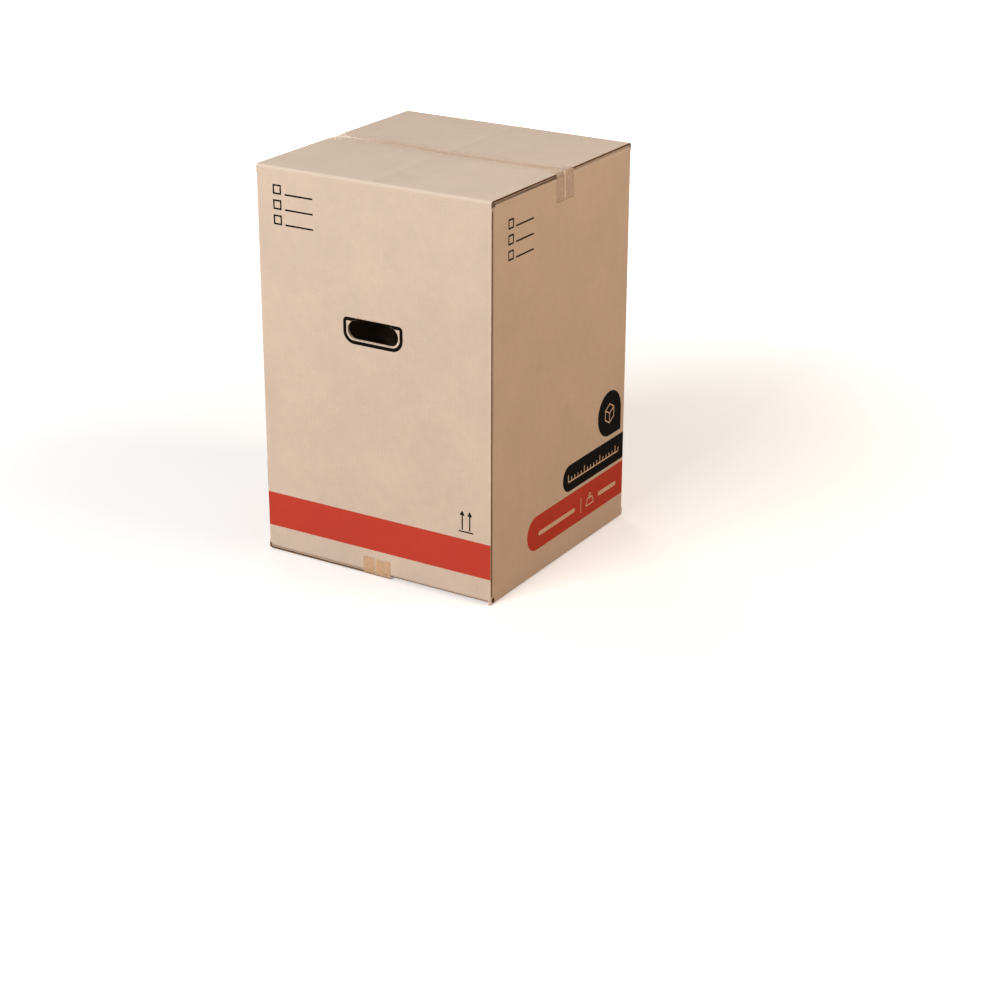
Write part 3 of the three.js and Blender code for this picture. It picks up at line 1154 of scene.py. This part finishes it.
# %% Wrinkles and saw cut
WAVE_HEIGHT = 0.12 * MM
WAVES = ((0.3, 190, 0), (0.2, 430, 2))
CREST_WIDTH = 0.9 * MM
WRINKLE_REACH = 38 * MM
SAW_STEP = 0.7 * MM
SAW_SWAY = 0.6 * MM
SWAY_PACE = 160


def wrinkle(across, from_end, crests):
    """Soft waves over the whole end of the film, and narrow crests at the given places."""
    waves = sum(size * math.sin(across * pace + start) for size, pace, start in WAVES)
    height = WAVE_HEIGHT * (0.5 + waves)
    for place, tall in crests:
        height += tall * math.exp(-(((across - place) / CREST_WIDTH) ** 2))
    return height * math.exp(-(from_end / WRINKLE_REACH) ** 4)


def saw_cut(column, across):
    """Teeth of four columns each, on an edge that sways a little."""
    return abs(column % 4 - 2) * SAW_STEP + SAW_SWAY * math.sin(across * SWAY_PACE)


print("a tooth is", round(2 * SAW_STEP / MM, 1), "mm long")

# %% [markdown]
# Building a strip
#
# A film could be one plane, but then it would have no edge, so each strip is a grid of
# points on two levels, closed round its sides. Simulated cloth could make the wrinkles, but
# a film pressed on by hand has few of them, all along its length, so added heights do it.

# %% Strip builder
TAPE_WIDTH = 50 * MM
TAPE_FILM = 0.06 * MM
TAPE_LIFT = 0.12 * MM
ACROSS_STEPS = 100


def tape_layer(mesh, points, normals, lift, mirror, along_x, crests):
    """One side of the film, row by row along the strip."""
    lengths = [0.0]
    for (u0, v0), (u1, v1) in zip(points, points[1:]):
        lengths.append(lengths[-1] + math.hypot(u1 - u0, v1 - v0))
    grid = []
    for i, ((u, v), normal) in enumerate(zip(points, normals)):
        from_end = min(lengths[i], lengths[-1] - lengths[i])
        row = []
        for j in range(ACROSS_STEPS + 1):
            w = TAPE_WIDTH * (j / ACROSS_STEPS - 0.5)
            out = lift + wrinkle(w, from_end, crests)
            saw = saw_cut(j, w) if i in (0, len(points) - 1) else 0.0
            point_u = u + normal.x * out
            point_v = v + normal.y * out + saw * mirror
            row.append(mesh.verts.new((point_u, w, point_v) if along_x else (w, point_u, point_v)))
        grid.append(row)
    return grid


def tape_strip(name, node, film, path, mirror, along_x, crests):
    points, normals = path
    mesh = bmesh.new()
    under, over = [
        tape_layer(mesh, points, normals, lift, mirror, along_x, crests)
        for lift in (TAPE_LIFT, TAPE_LIFT + TAPE_FILM)
    ]
    last = len(points) - 1
    for i in range(last):
        for j in range(ACROSS_STEPS):
            mesh.faces.new((over[i][j], over[i][j + 1], over[i + 1][j + 1], over[i + 1][j]))
            mesh.faces.new((under[i][j + 1], under[i][j], under[i + 1][j], under[i + 1][j + 1]))
        for j in (0, ACROSS_STEPS):
            mesh.faces.new((over[i][j], over[i + 1][j], under[i + 1][j], under[i][j]))
    for i in (0, last):
        for j in range(ACROSS_STEPS):
            mesh.faces.new((over[i][j], over[i][j + 1], under[i][j + 1], under[i][j]))
    piece = finish_piece(name, mesh, film, smooth=True)
    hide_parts(node)
    return piece


print("a strip is", round(TAPE_WIDTH / MM), "mm wide, in", ACROSS_STEPS, "columns")

# %% [markdown]
# The two strips
#
# The top strip runs along x over the lid's seam, and the bottom strip along y under the
# carton. Each meets the faces beyond the inner flaps, two boards and a gap from its own
# level. The CAD model has plain strips, which could be given the new material. These replace
# them, because only they have wrinkles and a saw cut.

# %% Tape strips
LAYER_GAP = 0.3 * MM
inner_top = top - 2 * BOARD - LAYER_GAP
inner_bottom = underside + 2 * BOARD + LAYER_GAP
top_crests = [(-21 * MM, 0.25 * MM), (-12 * MM, 0.35 * MM), (-1 * MM, 0.4 * MM), (13 * MM, 0.3 * MM)]
bottom_crests = [(-3 * MM, 0.6 * MM), (15 * MM, 0.15 * MM)]
top_path = tape_path(face_x, top, inner_top, top - 44 * MM, 1)
bottom_path = tape_path(face_y, underside, inner_bottom, underside + 29.5 * MM, -1)
over_top = tape_strip("tape_over_top", "top_tape", top_film, top_path, 1, True, top_crests)
under_bottom = tape_strip(
    "tape_under_bottom", "bottom_tape", bottom_film, bottom_path, -1, False, bottom_crests
)
print("tape", [len(strip.data.vertices) for strip in (over_top, under_bottom)], "points")

# %% [markdown]
# The fluted core
#
# A raw edge of the board shows two flat papers and, between them, the wavy one that is
# glued to both. The solids are open there, so only the wavy paper is missing. Where an edge
# is cut along the flutes, the wave is seen almost end to end and looks like one slow line.
# Where it is cut across them, as under a hand hole, each flute shows. The wave could be a
# bump in the material, but its shadows need real depth, so it is a mesh.

# %% Core helpers
LINER = 0.4 * MM
CORE_PAPER = 0.25 * MM
FLANK_CLEAR = 0.05 * MM
RIBBON_DEPTHS = (0.25 * MM, 0.9 * MM)
FLANK_DEPTHS = (1.1 * MM, 1.35 * MM)
core_material = paper_material("core_paper", srgb(172, 136, 102), 1.2)
# Painted shade: a dark brown for the sheet deep inside an open edge.
shaded_core = paper_material("core_in_shade", srgb(84, 58, 40), 1.0, 0.1)
wave_height = BOARD / 2 - LINER - CORE_PAPER / 2


def section_at(middle, through, half, way_in, depths):
    """Four corners: half a thickness to either side of the middle, from one depth to the other."""
    shallow, deep = depths
    return [
        middle + through * side * half + way_in * depth
        for side, depth in ((-1, shallow), (1, shallow), (1, deep), (-1, deep))
    ]


def core_ribbon(name, path, way_in, across_flutes, depths=RIBBON_DEPTHS):
    """A wavy ribbon in an open raw edge. The path runs along the middle of the board, each
    point with the way from the inner to the outer paper. way_in gives the way into the edge,
    and across_flutes the place of a point across the flutes."""
    sections = []
    for i, (point, through) in enumerate(path):
        phase = 2 * math.pi * across_flutes(i) / FLUTE_PITCH
        middle = point + through * wave_height * math.sin(phase)
        sections.append(section_at(middle, through, CORE_PAPER / 2, way_in(i), depths))
    return closed_strip(name, sections, core_material)


def painted_shade_sheet(name, path, way_in):
    """A dark sheet of painted shade at the side of the flute that an edge cut along the flutes looks on."""
    half = BOARD / 2 - LINER - FLANK_CLEAR
    sections = [section_at(point, through, half, way_in, FLANK_DEPTHS) for point, through in path]
    return closed_strip(name, sections, shaded_core)


print("the wave swings", round(wave_height / MM, 2), "mm to either side")

# %% [markdown]
# Cores of the flaps
#
# The raw side edge of an outer flap starts on the panel, turns round the crease and runs to
# the seam. One straight ribbon would miss the turn, so the path has three stretches. A cut
# is never quite true to the flutes and crosses them slowly, which is the drift below: one
# flute in some four or seven hundred millimetres. Behind each wavy ribbon lies a dark sheet
# at the side of the flute, with its shade painted on.

# %% Cores of the flaps
SEAM_HALF = 1.5 * MM
SLOT_RELIEF = 1 * MM
HIGH_SIDE_DRIFT = 0.018
LOW_SIDE_DRIFT = 0.011
WALL_STEPS = 4
TURN_STEPS = 8
FLAP_STEPS = 100
wall_top = inner_top - FOLD - SLOT_RELIEF
wall_bottom = inner_bottom + FOLD + SLOT_RELIEF


def flap_middle(panel, side_x, start_z, level, mirror):
    """The middle line of a flap's raw side edge: up the panel, round the crease, inward."""
    radius = FOLD + BOARD / 2
    wall = BOARD / 2 - (face_y if panel % 2 == 0 else face_x)
    centre_u = wall + radius
    centre_z = level + mirror * (BOARD / 2 - radius)
    flat = []
    for i in range(WALL_STEPS):
        flat.append(((wall, start_z + (centre_z - start_z) * i / WALL_STEPS), (-1, 0)))
    for i in range(TURN_STEPS + 1):
        angle = math.pi - (math.pi / 2) * i / TURN_STEPS
        u = math.cos(angle)
        v = mirror * math.sin(angle)
        flat.append(((centre_u + radius * u, centre_z + radius * v), (u, v)))
    for i in range(1, FLAP_STEPS + 1):
        u = centre_u + (-SEAM_HALF - centre_u) * i / FLAP_STEPS
        flat.append(((u, level + mirror * BOARD / 2), (0, mirror)))
    turned = panel_turn(panel)
    return [(turned @ Vector((side_x, u, v)), turned @ Vector((0, a, b))) for (u, v), (a, b) in flat]


def flap_cores(name, panel, start_z, level, mirror, joint_side=False):
    """Both side edges of a flap. Over the glued joint the low side is two boards shorter."""
    reach = (face_x if panel % 2 == 0 else face_y) - FLAP_INSET
    low_reach = reach - 2 * BOARD if joint_side else reach
    for sign, span, drift, side in (
        (-1, low_reach, LOW_SIDE_DRIFT, "_low_side"),
        (1, reach, HIGH_SIDE_DRIFT, "_high_side"),
    ):
        path = flap_middle(panel, sign * span, start_z, level, mirror)
        inward = panel_turn(panel) @ Vector((-sign, 0, 0))
        start = path[0][0]
        core_ribbon(
            name + side, path, lambda i: inward, lambda i: sign * span + drift * (path[i][0] - start).length
        )
        painted_shade_sheet(name + side + "_painted_shade", path, inward)


for panel, side in HOLE_PANELS:
    flap_cores("core_top_" + side, panel, wall_top, top - BOARD, 1)
for panel, side in FIELD_PANELS:
    flap_cores("core_bottom_" + side, panel, wall_bottom, underside + BOARD, -1, joint_side=panel == 1)
print("cores in the side edges of four outer flaps")

# %% [markdown]
# Core of the glued joint
#
# At one corner the sheet starts and ends. The raw edge of the last panel shows there from
# top to bottom. It is cut along the flutes too, so it could be left as one dark line, but it
# is the edge nearest to the camera, and is made as the flaps' edges are.

# %% Core of the glued joint
JOINT_STEPS = 120
JOINT_INSET = 1 * MM
JOINT_DRIFT = 0.011
joint_x = face_x - JOINT_INSET
joint_low = wall_bottom + BOARD
joint_high = wall_top - BOARD
joint_path = [
    (
        Vector((joint_x, BOARD / 2 - face_y, joint_low + (joint_high - joint_low) * i / JOINT_STEPS)),
        Vector((0, -1, 0)),
    )
    for i in range(JOINT_STEPS + 1)
]
joint_inward = Vector((-1, 0, 0))
core_ribbon(
    "core_joint", joint_path, lambda i: joint_inward, lambda i: joint_x + JOINT_DRIFT * joint_path[i][0].z
)
painted_shade_sheet("core_joint_painted_shade", joint_path, joint_inward)
print("core of the joint", round((joint_high - joint_low) / MM), "mm long")

# %% [markdown]
# Cores round the hand holes
#
# A hand hole is a slot with round ends. Above, its tab folds in and there is no cut edge.
# The edge goes down one end, along below and up the other. A ribbon with an even wave would
# be simpler, but the flutes stand upright, so the wave follows the place along x and gets
# slower where the edge turns upright.

# %% Cores round the hand holes
END_STEPS = 60
BELOW_STEPS = 110
HOLE_DEPTHS = (0.6 * MM, 2.7 * MM)


def rim_end(middle, start):
    """Half a turn round one end of the hole, each point with its way into the board."""
    points = []
    for i in range(END_STEPS + 1):
        angle = start + math.pi * i / END_STEPS
        away = (math.cos(angle), math.sin(angle))
        points.append(((middle + hole_radius * away[0], hole_radius * away[1]), away))
    return points


def hand_hole_core(panel, side):
    below = [
        ((-hinge_run + 2 * hinge_run * i / BELOW_STEPS, -hole_radius), (0, -1))
        for i in range(1, BELOW_STEPS)
    ]
    rim = rim_end(-hinge_run, math.pi / 2) + below + rim_end(hinge_run, -math.pi / 2)
    turned = panel_turn(panel)
    path = [
        (turned @ Vector((x, BOARD / 2 - face_y, hole_z + z)), turned @ Vector((0, -1, 0)))
        for (x, z), away in rim
    ]
    ways = [turned @ Vector((away[0], 0, away[1])) for point, away in rim]
    core_ribbon("core_hand_hole_" + side, path, lambda i: ways[i], lambda i: rim[i][0][0], HOLE_DEPTHS)


for panel, side in HOLE_PANELS:
    hand_hole_core(panel, side)
print("cores round", len(HOLE_PANELS), "hand holes")

# %% [markdown]
# Floor
#
# The carton stands on a plain pale floor. The camera sees it nearly white, with the shadow
# kept. The light that it throws back on the carton is brown, which gives the low part of the
# shaded face its warm tone. A floor of one colour can't do both, so the kind of ray chooses.
# Away from the carton the floor glows up to plain white.

# %% Floor
FLOOR_HALF = 30
FLOOR_SEEN = (0.9, 0.9, 0.9, 1)
FLOOR_THROWS = (0.44, 0.24, 0.09, 1)
FLOOR_ROUGH = 0.95
GLOW_STARTS = 0.5
GLOW_FULL = 2.2
LEAST_GLOW = 0.28


def seen_directly(tree):
    """One for what the camera sees, straight, mirrored or through film, and nought for the rest."""
    ray = add_node(tree, "ShaderNodeLightPath").outputs
    seen = math_node(tree, "MAXIMUM", ray["Is Camera Ray"], ray["Is Glossy Ray"])
    return math_node(tree, "MAXIMUM", seen, ray["Is Transmission Ray"])


floor_mesh = bpy.data.meshes.new("floor")
floor_corners = [(x * FLOOR_HALF, y * FLOOR_HALF, 0) for x, y in ((-1, -1), (1, -1), (1, 1), (-1, 1))]
floor_mesh.from_pydata(floor_corners, [], [(0, 1, 2, 3)])
floor = bpy.data.objects.new("floor", floor_mesh)
bpy.context.scene.collection.objects.link(floor)
floor_material, tree, shader = new_material("pale_floor")
seen = seen_directly(tree)
floor_place = add_node(tree, "ShaderNodeTexCoord").outputs["Object"]
distance = add_node(tree, "ShaderNodeVectorMath", {0: floor_place}, operation="LENGTH").outputs["Value"]
glow = ramp(tree, distance, GLOW_STARTS, GLOW_FULL, LEAST_GLOW, 1.0, interpolation_type="SMOOTHSTEP")
tree.links.new(mix_colour(tree, seen, FLOOR_THROWS, FLOOR_SEEN), shader.inputs["Base Color"])
tree.links.new(math_node(tree, "MULTIPLY", seen, glow), shader.inputs["Emission Strength"])
shader.inputs["Roughness"].default_value = FLOOR_ROUGH
shader.inputs["Specular IOR Level"].default_value = 0
shader.inputs["Emission Color"].default_value = (1, 1, 1, 1)
floor_mesh.materials.append(floor_material)
print("floor", 2 * FLOOR_HALF, "m wide")

# %% [markdown]
# Sky
#
# The light from all round could be one even colour, but under a real ceiling more of it
# comes from above, and what comes from low down has touched the floor. So the sky is white
# overhead and a dim brown at the height of the ground. The camera itself sees plain white.

# %% Sky
ZENITH = (1, 1, 1, 1)
HORIZON = (0.55, 0.40, 0.27, 1)
SKY_STARTS = -0.1
SKY_FULL = 0.6
SKY_STRENGTH = 0.27
world = bpy.data.worlds.new("studio")
world.use_nodes = True
bpy.context.scene.world = world
sky = world.node_tree
sky_seen = seen_directly(sky)
towards = add_node(sky, "ShaderNodeTexCoord").outputs["Generated"]
height = add_node(sky, "ShaderNodeSeparateXYZ", {"Vector": towards}).outputs["Z"]
sky_colour = mix_colour(sky, ramp(sky, height, SKY_STARTS, SKY_FULL), HORIZON, ZENITH)
sky_colour = mix_colour(sky, sky_seen, sky_colour, (1, 1, 1, 1))
strength = math_node(sky, "MULTIPLY_ADD", sky_seen, 1 - SKY_STRENGTH, SKY_STRENGTH)
sky.links.new(sky_colour, sky.nodes["Background"].inputs["Color"])
sky.links.new(strength, sky.nodes["Background"].inputs["Strength"])
print("sky at", SKY_STRENGTH, "of full strength")

# %% [markdown]
# Lamps
#
# A sun would give shadows with hard edges, and the sky alone gives hardly any. Three large
# square lamps give soft ones. The key lamp stands in front of the hand hole panel, well above
# the carton, so that panel is the brightest face and the lid comes next. A warm one, high on
# the right, lights the upper part of the shaded panel more than its foot. A third, at the
# back on the left, keeps the far sides readable.

# %% Lamps
LAMP_AIM = Vector((0, 0, 0.3))


def soft_lamp(name, place, size, power, colour=(1, 1, 1)):
    data = bpy.data.lights.new(name, "AREA")
    data.size = size
    data.energy = power
    data.color = colour
    lamp = bpy.data.objects.new(name, data)
    lamp.location = place
    lamp.rotation_euler = (LAMP_AIM - Vector(place)).to_track_quat("-Z", "Y").to_euler()
    bpy.context.scene.collection.objects.link(lamp)
    print("lamp", name, power, "W")


soft_lamp("key", (-0.6, -3.4, 2.0), 2.0, 117)
soft_lamp("right_fill", (2.1, 0.4, 2.1), 1.2, 34, (1.0, 0.79, 0.60))
soft_lamp("back_fill", (-3.0, 2.6, 1.1), 1.6, 50, (1.0, 0.91, 0.82))

# %% [markdown]
# Finish
#
# A filmic view would pull the whites of the floor down to grey, so the plain Standard view
# is used.

# %% Finish
scene = bpy.context.scene
scene.view_settings.view_transform = "Standard"
